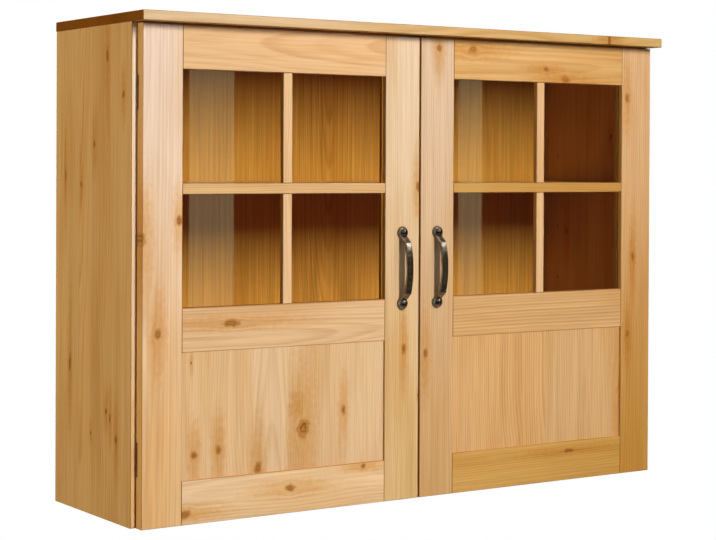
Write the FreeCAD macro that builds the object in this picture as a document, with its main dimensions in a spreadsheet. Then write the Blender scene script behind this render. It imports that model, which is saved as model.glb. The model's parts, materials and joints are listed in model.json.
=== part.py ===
"""Pine wall cabinet: a dowelled carcass with two half-glazed frame doors on brass butt hinges.

Millimetres. The front faces -Y, the wall is the plane Y = 0 and +Z is up. The origin is the middle of the row
of wall screws in the hanging rail.
"""
import FreeCAD, Part
import Sketcher
import os
import re

HANDS = ("left", "right")
# A size's name in a formula
NAME = re.compile(r"[a-z][a-z_]*")
# Largest distance between points that count as one
SAME_POINT = 0.001
ROTATIONS = {
    "+x": FreeCAD.Rotation(FreeCAD.Vector(0, 1, 0), 90),
    "-x": FreeCAD.Rotation(FreeCAD.Vector(0, 1, 0), -90),
    "+y": FreeCAD.Rotation(FreeCAD.Vector(1, 0, 0), -90),
    "-y": FreeCAD.Rotation(FreeCAD.Vector(1, 0, 0), 90),
    "+z": FreeCAD.Rotation(),
}

# Heights of the two dowels at each end of the hanging rail
HANGER_DOWEL_HEIGHTS = ("-hanger_dowel_offset", "hanger_dowel_offset")

# Driving sizes
SIZES = {
    # carcass
    "cabinet_width": 998,
    "side_height": 735,
    "side_depth": 262,
    "side_thickness": 18,
    "top_thickness": 15,
    "top_end_overhang": 1,
    "top_front_overhang": 19,
    "bottom_thickness": 18,
    "back_thickness": 5,
    "back_rebate_width": 9,
    "edge_ease": 1.5,
    # hanging rail and its row of wall screws
    "hanger_height": 50,
    "hanger_thickness": 18,
    "wall_hole_radius": 3,
    "wall_hole_inset": 61,
    # shelves and their pins
    "shelf_thickness": 15,
    "shelf_end_clearance": 1,
    "shelf_back_clearance": 1,
    "shelf_setback": 6,
    "lower_shelf_height": 263,
    "pin_radius": 2.5,
    "pin_reach": 9,
    "pin_hole_depth": 9,
    "pin_hole_pitch": 64,
    "pin_front_inset": 37,
    "pin_back_inset": 40,
    # dowels, nails and screws
    "dowel_radius": 4,
    "dowel_short": 10,
    "dowel_long": 18,
    "dowel_end_inset": 40,
    "hanger_dowel_offset": 13,
    "peg_clearance": 0.1,
    "nail_radius": 0.9,
    "nail_length": 20,
    "nail_head_radius": 2.4,
    "nail_head_height": 1,
    "nail_end_inset": 60,
    "screw_radius": 1.5,
    "screw_length": 12,
    "screw_head_radius": 2.9,
    # doors
    "door_thickness": 17,
    "door_side_reveal": 8.5,
    "door_top_gap": 2,
    "door_seam": 3,
    "door_ease": 1,
    "stile_width": 65,
    "door_rail_width": 65,
    "window_height": 350,
    "tenon_length": 30,
    "tenon_shoulder": 14,
    "mortise_clearance": 0.5,
    "panel_recess": 4,
    "panel_thickness": 7,
    "panel_edge_clearance": 1.5,
    "groove_depth": 9,
    "lip_thickness": 8,
    "rebate_width": 8,
    "glass_thickness": 3,
    "glass_edge_clearance": 0.8,
    "bar_width": 16,
    "bar_tenon_length": 5,
    "bar_tenon_shoulder": 3,
    "bar_tenon_cheek": 2,
    # butt hinges
    "hinge_inset": 100,
    "hinge_height": 50,
    "hinge_pin_radius": 1.1,
    "hinge_clearance": 0.3,
    "knuckle_radius": 2.2,
    "knuckle_inset": 1.6,
    "knuckle_sink": 1,
    "knuckle_gap": 0.4,
    "notch_clearance": 0.5,
    "leaf_thickness": 1.2,
    "leaf_width": 34,
    "leaf_clearance": 0.8,
    "leaf_screw_inset": 21,
    "leaf_screw_pitch": 17,
    # bow handles
    "handle_spacing": 112,
    "handle_foot_radius": 10,
    "handle_foot_height": 9,
    "handle_width": 12,
    "handle_projection": 24,
    "handle_shoulder": 18,
    "handle_strap_thickness": 4.5,
    "handle_neck_run": 15.5,
    "handle_neck_thickness": 8,
    "handle_bend_radius": 3,
    "handle_screw_radius": 2,
    "handle_screw_bite": 3.5,
    "handle_screw_head_radius": 4,
    "handle_screw_head_height": 2,
    # magnetic catch and bumpers
    "catch_width": 50,
    "catch_depth": 18,
    "catch_height": 14,
    "catch_clearance": 0.3,
    "catch_screw_spacing": 30,
    "catch_screw_bite": 9,
    "strike_width": 16,
    "strike_height": 12,
    "strike_inset": 4,
    "bumper_radius": 4,
    "bumper_clearance": 0.3,
    "bumper_inset": 40,
}

# Planes and lengths that follow from the driving sizes; x distances are from the middle plane
DERIVED = {
    "side_out": "cabinet_width / 2",
    "side_in": "side_out - side_thickness",
    "side_middle": "side_in + side_thickness / 2",
    "carcass_front": "-side_depth",
    "inner_back": "-back_thickness",
    "hanger_middle": "inner_back - hanger_thickness / 2",
    "top_under": "hanger_height / 2",
    "base": "top_under - side_height",
    "bottom_middle": "base + bottom_thickness / 2",
    "dowel_hole_radius": "dowel_radius + peg_clearance",
    "pin_hole_radius": "pin_radius + peg_clearance",
    "nail_hole_radius": "nail_radius + peg_clearance",
    "screw_hole_radius": "screw_radius + peg_clearance",
    "door_gap": "leaf_thickness + leaf_clearance",
    "door_back": "carcass_front - door_gap",
    "door_front": "door_back - door_thickness",
    "door_out": "side_out - door_side_reveal",
    "door_in": "door_seam / 2",
    "door_height": "side_height - door_top_gap",
    "window_in": "door_in + stile_width",
    "window_out": "door_out - stile_width",
    "window_width": "window_out - window_in",
    "window_middle": "(window_in + window_out) / 2",
    "top_rail_base": "base + door_height - door_rail_width",
    "window_base": "top_rail_base - window_height",
    "middle_rail_base": "window_base - door_rail_width",
    "panel_base": "base + door_rail_width",
    "panel_height": "middle_rail_base - panel_base",
    "bead_thickness": "door_thickness - lip_thickness - glass_thickness",
    "cross_bar_base": "window_base + (window_height - bar_width) / 2",
    "upper_bar_length": "top_rail_base - cross_bar_base - bar_width",
    "upper_shelf_base": "cross_bar_base + (bar_width - shelf_thickness) / 2",
    "lower_shelf_base": "base + lower_shelf_height",
    "hinge_x": "door_out - knuckle_inset",
    "hinge_y": "door_back - knuckle_sink",
    "upper_hinge_base": "base + door_height - hinge_inset - hinge_height / 2",
    "lower_hinge_base": "base + hinge_inset - hinge_height / 2",
    "knuckle_length": "(hinge_height - 2 * knuckle_gap) / 3",
    "notch_width": "knuckle_inset + knuckle_radius + notch_clearance",
    "notch_depth": "knuckle_sink + knuckle_radius + notch_clearance",
    "screw_head_height": "leaf_thickness",
    "strike_thickness": "leaf_thickness",
    "handle_x": "door_in + stile_width / 2",
    "handle_z": "base + door_height / 2",
    "handle_foot_sphere": "(handle_foot_radius ^ 2 / handle_foot_height + handle_foot_height) / 2",
    "strike_base": "base + door_height - strike_inset - strike_height",
    "catch_front": "door_back + strike_thickness + catch_clearance",
    "catch_middle": "catch_front + catch_depth / 2",
}

doc = FreeCAD.newDocument("WallCabinet")
sheet = doc.addObject("Spreadsheet::Sheet", "Sizes")


def fill_sheet():
    """One row per size: its name, its value or formula, and the alias that the pieces are bound to."""
    rows = [(name, str(size)) for name, size in SIZES.items()]
    rows += [(name, "=" + formula) for name, formula in DERIVED.items()]
    for row, (name, content) in enumerate(rows, 1):
        sheet.set(f"A{row}", name)
        sheet.set(f"B{row}", content)
        sheet.setAlias(f"B{row}", name)
    doc.recompute()


def bind(feature, settings):
    """Bind properties to formulas written with the sheet's own names."""
    for path, text in settings.items():
        feature.setExpression(path, NAME.sub(r"Sizes.\g<0>", str(text)))


def place(feature, at, direction="+z"):
    feature.Placement.Rotation = ROTATIONS[direction]
    bind(feature, dict(zip(("Placement.Base.x", "Placement.Base.y", "Placement.Base.z"), at)))


def span(hand, near, length):
    """Low x of something that runs outwards from the distance near, on the left or the right half."""
    return near if hand == "right" else f"-({near}) - ({length})"


def point(hand, distance):
    return distance if hand == "right" else f"-({distance})"


def outwards(hand):
    return "+x" if hand == "right" else "-x"


def new_body(label):
    body = doc.addObject("PartDesign::Body", label)
    body.Label = label
    return body


def box(body, kind, name, at, size):
    feature = body.newObject(f"PartDesign::{kind}Box", name)
    bind(feature, dict(zip(("Length", "Width", "Height"), size)))
    place(feature, at)
    return feature


def drill(body, name, at, direction, radius, length):
    feature = body.newObject("PartDesign::SubtractiveCylinder", name)
    bind(feature, {"Radius": radius, "Height": length})
    place(feature, at, direction)


def head_seat(body, name, at, direction, fastener):
    """Conical seat of a screw's or nail's head, from the face that the head lies flush with."""
    feature = body.newObject("PartDesign::SubtractiveCone", name)
    bind(feature, {"Radius1": f"{fastener}_head_radius + peg_clearance", "Radius2": f"{fastener}_hole_radius",
                   "Height": f"{fastener}_head_height"})
    place(feature, at, direction)


def screw_hole(body, name, at, direction):
    drill(body, name, at, direction, "screw_hole_radius", "screw_length")


def countersunk_hole(body, name, at, direction):
    head_seat(body, name + "Seat", at, direction, "screw")
    screw_hole(body, name, at, direction)


def ease(body, feature, radius, picks):
    """Round the edges of a feature that the test picks by their two end points."""
    doc.recompute()
    edges = feature.Shape.Edges
    bounds = feature.Shape.BoundBox
    names = [f"Edge{number}" for number, edge in enumerate(edges, 1) if picks(bounds, edge)]
    rounding = body.newObject("PartDesign::Fillet", feature.Name + "Ease")
    rounding.Base = (feature, names)
    bind(rounding, {"Radius": radius})
    return rounding


def on_front(bounds, edge):
    return all(abs(vertex.Y - bounds.YMin) < SAME_POINT for vertex in edge.Vertexes)


def off_back(bounds, edge):
    return not all(abs(vertex.Y - bounds.YMax) < SAME_POINT for vertex in edge.Vertexes)


def board(label, at, size, radius="edge_ease", picks=on_front):
    """A board with rounded edges."""
    body = new_body(label)
    stock = box(body, "Additive", label + "Stock", at, size)
    ease(body, stock, radius, picks)
    return body


def peg(name, at, direction, radius, length):
    feature = doc.addObject("Part::Cylinder", name)
    bind(feature, {"Radius": radius, "Height": length})
    place(feature, at, direction)
    return feature


def joined(name, base, tool):
    feature = doc.addObject("Part::Fuse", name)
    feature.Base = base
    feature.Tool = tool
    return feature


def headed(name, at, direction, fastener, length):
    """A screw or nail: its shank and its conical head start at the same outer face."""
    shank = peg(name + "Shank", at, direction, f"{fastener}_radius", length)
    head = doc.addObject("Part::Cone", name + "Head")
    bind(head, {"Radius1": f"{fastener}_head_radius", "Radius2": f"{fastener}_radius",
                "Height": f"{fastener}_head_height"})
    place(head, at, direction)
    return joined(name, shank, head)


def wood_screw(name, at, direction):
    return headed(name, at, direction, "screw", "screw_length")


def group(label, members):
    """Identical small pieces kept together as one sub-part."""
    feature = doc.addObject("Part::Compound", label)
    feature.Label = label
    feature.Links = members
    return feature


def dowel_rows():
    """Distance of each of three dowels from the wall, evenly from the front inset to the back inset."""
    first = "carcass_front + dowel_end_inset"
    step = f"(inner_back - dowel_end_inset - ({first})) / 2"
    return [f"{first} + {number} * ({step})" for number in range(3)]


def shelf_pin_places():
    """Depth and height of the shelf pins in one side: two under each shelf."""
    depths = ("carcass_front + pin_front_inset", "inner_back - pin_back_inset")
    return [(depth, f"{shelf}_shelf_base - pin_radius") for shelf in ("upper", "lower") for depth in depths]


def nail_heights():
    step = "(side_height - 2 * nail_end_inset) / 3"
    return [f"base + nail_end_inset + {number} * {step}" for number in range(4)]


def nail_columns():
    return [f"(side_in - nail_end_inset) * {number} / 3" for number in (-3, -1, 1, 3)]


def wall_hole_columns():
    return [f"(side_in - wall_hole_inset) * {number} / 3" for number in (-3, -1, 1, 3)]


def leaf_screw_heights(level):
    middle = f"{level}_hinge_base + hinge_height / 2"
    return [f"{middle} + {number} * leaf_screw_pitch" for number in (-1, 0, 1)]


def make_side(hand):
    body = board(f"{hand}_side", (span(hand, "side_in", "side_thickness"), "carcass_front", "base"),
                 ("side_thickness", "side_depth", "side_height"))
    box(body, "Subtractive", f"{hand}_back_rebate",
        (span(hand, "side_in", "back_rebate_width"), "inner_back", "base"),
        ("back_rebate_width", "back_thickness", "side_height"))
    middle = point(hand, "side_middle")
    inner = span(hand, "side_in", "dowel_short")
    for number, depth in enumerate(dowel_rows()):
        drill(body, f"{hand}_top_hole_{number}", (middle, depth, "top_under - dowel_long"), "+z",
              "dowel_hole_radius", "dowel_long")
        drill(body, f"{hand}_bottom_hole_{number}", (inner, depth, "bottom_middle"), "+x",
              "dowel_hole_radius", "dowel_short")
    for number, height in enumerate(HANGER_DOWEL_HEIGHTS):
        drill(body, f"{hand}_hanger_hole_{number}", (inner, "hanger_middle", height), "+x",
              "dowel_hole_radius", "dowel_short")
    inner = span(hand, "side_in", "pin_hole_depth")
    for number, (depth, height) in enumerate(shelf_pin_places()):
        for level in (-1, 0, 1):
            drill(body, f"{hand}_pin_hole_{number}_{level + 1}",
                  (inner, depth, f"{height} + {level} * pin_hole_pitch"), "+x",
                  "pin_hole_radius", "pin_hole_depth")
    for level in ("upper", "lower"):
        for number, height in enumerate(leaf_screw_heights(level)):
            screw_hole(body, f"{hand}_{level}_pilot_{number}", case_screw_place(hand, height), outwards(hand))
    for number, height in enumerate(nail_heights()):
        drill(body, f"{hand}_nail_hole_{number}", (nail_x(hand), 0, height), "-y",
              "nail_hole_radius", "nail_length")


def nail_x(hand):
    return point(hand, "side_in + back_rebate_width / 2")


def case_screw_place(hand, height):
    depth = "carcass_front - leaf_thickness + leaf_screw_inset"
    return (point(hand, "side_in - leaf_thickness"), depth, height)


def make_top():
    width = "cabinet_width + 2 * top_end_overhang"
    body = board("top_panel", (f"-({width}) / 2", "door_front - top_front_overhang", "top_under"),
                 (width, "top_front_overhang - door_front", "top_thickness"), picks=off_back)
    for hand in HANDS:
        for number, depth in enumerate(dowel_rows()):
            drill(body, f"top_{hand}_hole_{number}", (point(hand, "side_middle"), depth, "top_under"), "+z",
                  "dowel_hole_radius", "dowel_short")
        at = (point(hand, "catch_screw_spacing / 2"), "catch_middle", "top_under")
        drill(body, f"top_{hand}_catch_hole", at, "+z", "screw_hole_radius", "catch_screw_bite")


def make_bottom():
    body = board("bottom_panel", ("-side_in", "carcass_front", "base"),
                 ("2 * side_in", "side_depth - back_thickness", "bottom_thickness"))
    for hand in HANDS:
        end = span(hand, "side_in - dowel_long", "dowel_long")
        for number, depth in enumerate(dowel_rows()):
            drill(body, f"bottom_{hand}_hole_{number}", (end, depth, "bottom_middle"), "+x",
                  "dowel_hole_radius", "dowel_long")
    for number, column in enumerate(nail_columns()):
        drill(body, f"bottom_nail_hole_{number}", (column, 0, "bottom_middle"), "-y",
              "nail_hole_radius", "nail_length")


def make_back():
    body = new_body("back_panel")
    half = "side_in + back_rebate_width"
    box(body, "Additive", "back_stock", (f"-({half})", "inner_back", "base"),
        (f"2 * ({half})", "back_thickness", "side_height"))
    for number, column in enumerate(wall_hole_columns()):
        drill(body, f"back_wall_hole_{number}", (column, "inner_back", 0), "+y",
              "wall_hole_radius", "back_thickness")
    for number, (x, z) in enumerate(nail_places()):
        drill(body, f"back_nail_hole_{number}", (x, 0, z), "-y", "nail_hole_radius", "back_thickness")
        head_seat(body, f"back_nail_seat_{number}", (x, 0, z), "-y", "nail")


def nail_places():
    """Nails of the back panel: a row into the bottom panel and one into each side."""
    places = [(column, "bottom_middle") for column in nail_columns()]
    return places + [(nail_x(hand), height) for hand in HANDS for height in nail_heights()]


def make_hanging_rail():
    body = board("hanging_rail", ("-side_in", "inner_back - hanger_thickness", "-hanger_height / 2"),
                 ("2 * side_in", "hanger_thickness", "hanger_height"))
    for number, column in enumerate(wall_hole_columns()):
        drill(body, f"rail_wall_hole_{number}", (column, "inner_back - hanger_thickness", 0), "+y",
              "wall_hole_radius", "hanger_thickness")
    for hand in HANDS:
        end = span(hand, "side_in - dowel_long", "dowel_long")
        for number, height in enumerate(HANGER_DOWEL_HEIGHTS):
            drill(body, f"rail_{hand}_hole_{number}", (end, "hanger_middle", height), "+x",
                  "dowel_hole_radius", "dowel_long")


def make_shelves():
    half = "side_in - shelf_end_clearance"
    depth = "side_depth - shelf_setback - back_thickness - shelf_back_clearance"
    for level in ("upper", "lower"):
        board(f"{level}_shelf", (f"-({half})", "carcass_front + shelf_setback", f"{level}_shelf_base"),
              (f"2 * ({half})", depth, "shelf_thickness"))


def make_carcass_pegs():
    pins = []
    tops = []
    bottoms = []
    hangers = []
    pin_length = "pin_reach + pin_hole_depth"
    length = "dowel_short + dowel_long"
    for hand in HANDS:
        low = span(hand, "side_in - pin_reach", pin_length)
        for number, (depth, height) in enumerate(shelf_pin_places()):
            pins.append(peg(f"{hand}_pin_{number}", (low, depth, height), "+x", "pin_radius", pin_length))
        low = span(hand, "side_in - dowel_long", length)
        for number, depth in enumerate(dowel_rows()):
            at = (point(hand, "side_middle"), depth, "top_under - dowel_long")
            tops.append(peg(f"{hand}_top_dowel_{number}", at, "+z", "dowel_radius", length))
            at = (low, depth, "bottom_middle")
            bottoms.append(peg(f"{hand}_bottom_dowel_{number}", at, "+x", "dowel_radius", length))
        for number, height in enumerate(HANGER_DOWEL_HEIGHTS):
            at = (low, "hanger_middle", height)
            hangers.append(peg(f"{hand}_hanger_dowel_{number}", at, "+x", "dowel_radius", length))
    group("shelf_pins", pins)
    group("top_dowels", tops)
    group("bottom_dowels", bottoms)
    group("hanger_dowels", hangers)
    nails = [headed(f"nail_{number}", (x, 0, z), "-y", "nail", "nail_length")
             for number, (x, z) in enumerate(nail_places())]
    group("back_nails", nails)


def make_catch():
    body = new_body("magnet_catch")
    low = "top_under - catch_height"
    box(body, "Additive", "catch_block", ("-catch_width / 2", "catch_front", low),
        ("catch_width", "catch_depth", "catch_height"))
    screws = []
    for hand in HANDS:
        at = (point(hand, "catch_screw_spacing / 2"), "catch_middle", low)
        drill(body, f"catch_{hand}_hole", at, "+z", "screw_hole_radius", "catch_height")
        head_seat(body, f"catch_{hand}_seat", at, "+z", "screw")
        screws.append(headed(f"catch_{hand}_screw", at, "+z", "screw", "catch_height + catch_screw_bite"))
    group("catch_screws", screws)


def make_bumpers():
    bumpers = []
    for hand in HANDS:
        at = (point(hand, "bumper_inset"), "carcass_front", "bottom_middle")
        bumpers.append(peg(f"{hand}_bumper", at, "-y", "bumper_radius", "door_gap - bumper_clearance"))
    group("door_bumpers", bumpers)


def knuckle(body, name, hand, low, length, bore):
    """A length of the hinge's barrel with its bore."""
    at = (point(hand, "hinge_x"), "hinge_y", low)
    barrel = body.newObject("PartDesign::AdditiveCylinder", name)
    bind(barrel, {"Radius": "knuckle_radius", "Height": length})
    place(barrel, at)
    drill(body, name + "_bore", at, "+z", bore, length)


def make_case_leaf(hand, level):
    """The leaf on the carcass: it wraps from the barrel round the side's front edge to its inner face."""
    body = new_body(f"{hand}_{level}_case_leaf")
    low = f"{level}_hinge_base"
    inner = "side_in - leaf_thickness"
    face = "carcass_front - leaf_thickness"
    reach = f"hinge_x - ({inner})"
    box(body, "Additive", f"{hand}_{level}_leg", (span(hand, inner, "leaf_thickness"), face, low),
        ("leaf_thickness", "leaf_width", "hinge_height"))
    box(body, "Additive", f"{hand}_{level}_front", (span(hand, inner, reach), face, low),
        (reach, "leaf_thickness", "hinge_height"))
    knuckle(body, f"{hand}_{level}_barrel", hand, low, "hinge_height", "hinge_pin_radius")
    gap = "2 * (knuckle_radius + notch_clearance)"
    box(body, "Subtractive", f"{hand}_{level}_slot",
        (span(hand, "hinge_x - knuckle_radius - notch_clearance", gap), "door_back - notch_depth",
         f"{low} + knuckle_length"),
        (gap, "notch_depth + door_gap", "knuckle_length + 2 * knuckle_gap"))
    for number, height in enumerate(leaf_screw_heights(level)):
        at = case_screw_place(hand, height)
        countersunk_hole(body, f"{hand}_{level}_case_hole_{number}", at, outwards(hand))


def door_screw_place(hand, height):
    return (point(hand, "door_out - leaf_screw_inset"), "door_back", height)


def make_door_leaf(hand, level):
    """The leaf let into the back of the hinge stile, with the middle knuckle."""
    body = new_body(f"{hand}_{level}_door_leaf")
    low = f"{level}_hinge_base"
    middle = f"{low} + knuckle_length + knuckle_gap"
    flat = "leaf_width - notch_width"
    box(body, "Additive", f"{hand}_{level}_plate",
        (span(hand, "door_out - leaf_width", flat), "door_back - leaf_thickness", low),
        (flat, "leaf_thickness", "hinge_height"))
    bridge = "notch_width - knuckle_inset"
    box(body, "Additive", f"{hand}_{level}_bridge",
        (span(hand, "door_out - notch_width", bridge), "door_back - leaf_thickness", middle),
        (bridge, "leaf_thickness", "knuckle_length"))
    knuckle(body, f"{hand}_{level}_eye", hand, middle, "knuckle_length", "hinge_pin_radius + hinge_clearance")
    for number, height in enumerate(leaf_screw_heights(level)):
        countersunk_hole(body, f"{hand}_{level}_door_hole_{number}", door_screw_place(hand, height), "-y")


def make_hinges():
    pins = []
    case_screws = []
    for hand in HANDS:
        door_screws = []
        for level in ("upper", "lower"):
            make_case_leaf(hand, level)
            make_door_leaf(hand, level)
            name = f"{hand}_{level}"
            at = (point(hand, "hinge_x"), "hinge_y", f"{level}_hinge_base")
            pins.append(peg(f"{name}_hinge_pin", at, "+z", "hinge_pin_radius", "hinge_height"))
            for number, height in enumerate(leaf_screw_heights(level)):
                at = case_screw_place(hand, height)
                case_screws.append(wood_screw(f"{name}_case_screw_{number}", at, outwards(hand)))
                at = door_screw_place(hand, height)
                door_screws.append(wood_screw(f"{name}_door_screw_{number}", at, "-y"))
        group(f"{hand}_leaf_screws", door_screws)
    group("hinge_pins", pins)
    group("case_leaf_screws", case_screws)


def frame_cuts(body, name, edge):
    """Glass rebate, panel groove and mortises of a stile; edge gives the low x for a depth."""
    box(body, "Subtractive", name + "_rebate",
        (edge("rebate_width"), "door_front + lip_thickness", "window_base - rebate_width"),
        ("rebate_width", "door_thickness - lip_thickness", "window_height + 2 * rebate_width"))
    box(body, "Subtractive", name + "_groove",
        (edge("groove_depth"), "door_front + panel_recess", "panel_base - groove_depth"),
        ("groove_depth", "panel_thickness", "panel_height + 2 * groove_depth"))
    depth = "tenon_length + mortise_clearance"
    for rail in ("base", "middle_rail_base", "top_rail_base"):
        box(body, "Subtractive", f"{name}_mortise_{rail}",
            (edge(depth), "door_front + panel_recess", f"{rail} + tenon_shoulder"),
            (depth, "panel_thickness", "door_rail_width - 2 * tenon_shoulder"))
    depth = "bar_tenon_length + mortise_clearance"
    box(body, "Subtractive", name + "_bar_mortise",
        (edge(depth), "door_front + bar_tenon_cheek", "cross_bar_base + bar_tenon_shoulder"),
        (depth, "lip_thickness - 2 * bar_tenon_cheek", "bar_width - 2 * bar_tenon_shoulder"))


def make_hinge_stile(hand):
    name = f"{hand}_hinge_stile"
    body = board(name, (span(hand, "window_out", "stile_width"), "door_front", "base"),
                 ("stile_width", "door_thickness", "door_height"), "door_ease")
    frame_cuts(body, name, lambda depth: span(hand, "window_out", depth))
    for level in ("upper", "lower"):
        low = f"{level}_hinge_base"
        box(body, "Subtractive", f"{name}_{level}_notch",
            (span(hand, "door_out - notch_width", "notch_width"), "door_back - notch_depth",
             f"{low} - notch_clearance"),
            ("notch_width", "notch_depth", "hinge_height + 2 * notch_clearance"))
        flat = "leaf_width - notch_width"
        box(body, "Subtractive", f"{name}_{level}_leaf_bed",
            (span(hand, "door_out - leaf_width", flat), "door_back - leaf_thickness", low),
            (flat, "leaf_thickness", "hinge_height"))
        for number, height in enumerate(leaf_screw_heights(level)):
            screw_hole(body, f"{name}_{level}_pilot_{number}", door_screw_place(hand, height), "-y")


def handle_screw_heights():
    return [f"handle_z {sign} handle_spacing / 2" for sign in "-+"]


def strike_screw_place(hand):
    return (point(hand, "door_in + strike_inset + strike_width / 2"), "door_back + strike_thickness",
            "strike_base + strike_height / 2")


def make_meeting_stile(hand):
    name = f"{hand}_meeting_stile"
    body = board(name, (span(hand, "door_in", "stile_width"), "door_front", "base"),
                 ("stile_width", "door_thickness", "door_height"), "door_ease")
    frame_cuts(body, name, lambda depth: span(hand, f"window_in - ({depth})", depth))
    for number, height in enumerate(handle_screw_heights()):
        drill(body, f"{name}_handle_hole_{number}", (point(hand, "handle_x"), "door_back", height), "-y",
              "handle_screw_radius + peg_clearance", "door_thickness")
    screw_hole(body, f"{name}_strike_pilot", strike_screw_place(hand), "-y")


def make_rail(hand, name, low, rebate_at, groove_at):
    """A door rail with tenons; rebate_at and groove_at are the low z of its glass rebate and panel groove."""
    label = f"{hand}_{name}_rail"
    x = span(hand, "window_in", "window_width")
    size = ("window_width", "door_thickness", "door_rail_width")
    body = board(label, (x, "door_front", low), size, "door_ease")
    reach = "window_width + 2 * tenon_length"
    box(body, "Additive", label + "_tenons",
        (span(hand, "window_in - tenon_length", reach), "door_front + panel_recess",
         f"{low} + tenon_shoulder"),
        (reach, "panel_thickness", "door_rail_width - 2 * tenon_shoulder"))
    if rebate_at:
        box(body, "Subtractive", label + "_rebate", (x, "door_front + lip_thickness", rebate_at),
            ("window_width", "door_thickness - lip_thickness", "rebate_width"))
    if groove_at:
        box(body, "Subtractive", label + "_groove", (x, "door_front + panel_recess", groove_at),
            ("window_width", "panel_thickness", "groove_depth"))
    return body


def upright_mortise(body, name, hand, low):
    """Mortise for the tenon of an upright glazing bar."""
    width = "bar_width - 2 * bar_tenon_shoulder"
    box(body, "Subtractive", name,
        (span(hand, f"window_middle - ({width}) / 2", width), "door_front + bar_tenon_cheek", low),
        (width, "lip_thickness - 2 * bar_tenon_cheek", "bar_tenon_length"))


def make_bars(hand):
    cheek = "door_front + bar_tenon_cheek"
    tongue = "lip_thickness - 2 * bar_tenon_cheek"
    tenon = "bar_width - 2 * bar_tenon_shoulder"
    name = f"{hand}_cross_bar"
    body = board(name, (span(hand, "window_in", "window_width"), "door_front", "cross_bar_base"),
                 ("window_width", "lip_thickness", "bar_width"), "door_ease")
    reach = "window_width + 2 * bar_tenon_length"
    box(body, "Additive", name + "_tenons",
        (span(hand, "window_in - bar_tenon_length", reach), cheek, "cross_bar_base + bar_tenon_shoulder"),
        (reach, tongue, tenon))
    upright_mortise(body, name + "_lower_mortise", hand, "cross_bar_base")
    upright_mortise(body, name + "_upper_mortise", hand, "cross_bar_base + bar_width - bar_tenon_length")
    for level, low in (("upper", "cross_bar_base + bar_width"), ("lower", "window_base")):
        name = f"{hand}_{level}_bar"
        body = board(name, (span(hand, "window_middle - bar_width / 2", "bar_width"), "door_front", low),
                     ("bar_width", "lip_thickness", "upper_bar_length"), "door_ease")
        box(body, "Additive", name + "_tenons",
            (span(hand, f"window_middle - ({tenon}) / 2", tenon), cheek, f"{low} - bar_tenon_length"),
            (tenon, tongue, "upper_bar_length + 2 * bar_tenon_length"))


def make_door_frame(hand):
    make_hinge_stile(hand)
    make_meeting_stile(hand)
    top = make_rail(hand, "top", "top_rail_base", "top_rail_base", None)
    upright_mortise(top, f"{hand}_top_rail_bar_mortise", hand, "top_rail_base")
    middle = make_rail(hand, "middle", "middle_rail_base", "window_base - rebate_width", "middle_rail_base")
    upright_mortise(middle, f"{hand}_middle_rail_bar_mortise", hand, "window_base - bar_tenon_length")
    make_rail(hand, "bottom", "base", None, "panel_base - groove_depth")
    make_bars(hand)


def make_door_fields(hand):
    """The lower panel in its grooves, and the glass in its rebate with the beads behind it."""
    body = new_body(f"{hand}_lower_panel")
    edge = "groove_depth - panel_edge_clearance"
    width = f"window_width + 2 * ({edge})"
    box(body, "Additive", f"{hand}_panel_stock",
        (span(hand, f"window_in - ({edge})", width), "door_front + panel_recess", f"panel_base - ({edge})"),
        (width, "panel_thickness", f"panel_height + 2 * ({edge})"))
    body = new_body(f"{hand}_glass")
    edge = "rebate_width - glass_edge_clearance"
    width = f"window_width + 2 * ({edge})"
    box(body, "Additive", f"{hand}_pane",
        (span(hand, f"window_in - ({edge})", width), "door_front + lip_thickness", f"window_base - ({edge})"),
        (width, "glass_thickness", f"window_height + 2 * ({edge})"))
    tall = "window_height + 2 * rebate_width"
    low = "window_base - rebate_width"
    strips = {
        "outer": (span(hand, "window_out", "rebate_width"), low, "rebate_width", tall),
        "inner": (span(hand, "window_in - rebate_width", "rebate_width"), low, "rebate_width", tall),
        "over": (span(hand, "window_in", "window_width"), "top_rail_base", "window_width", "rebate_width"),
        "under": (span(hand, "window_in", "window_width"), low, "window_width", "rebate_width"),
    }
    beads = []
    for name, (x, z, width, height) in strips.items():
        bead = doc.addObject("Part::Box", f"{hand}_{name}_bead")
        bind(bead, {"Length": width, "Width": "bead_thickness", "Height": height})
        place(bead, (x, "door_back - bead_thickness", z))
        beads.append(bead)
    group(f"{hand}_glazing_beads", beads)


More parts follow.
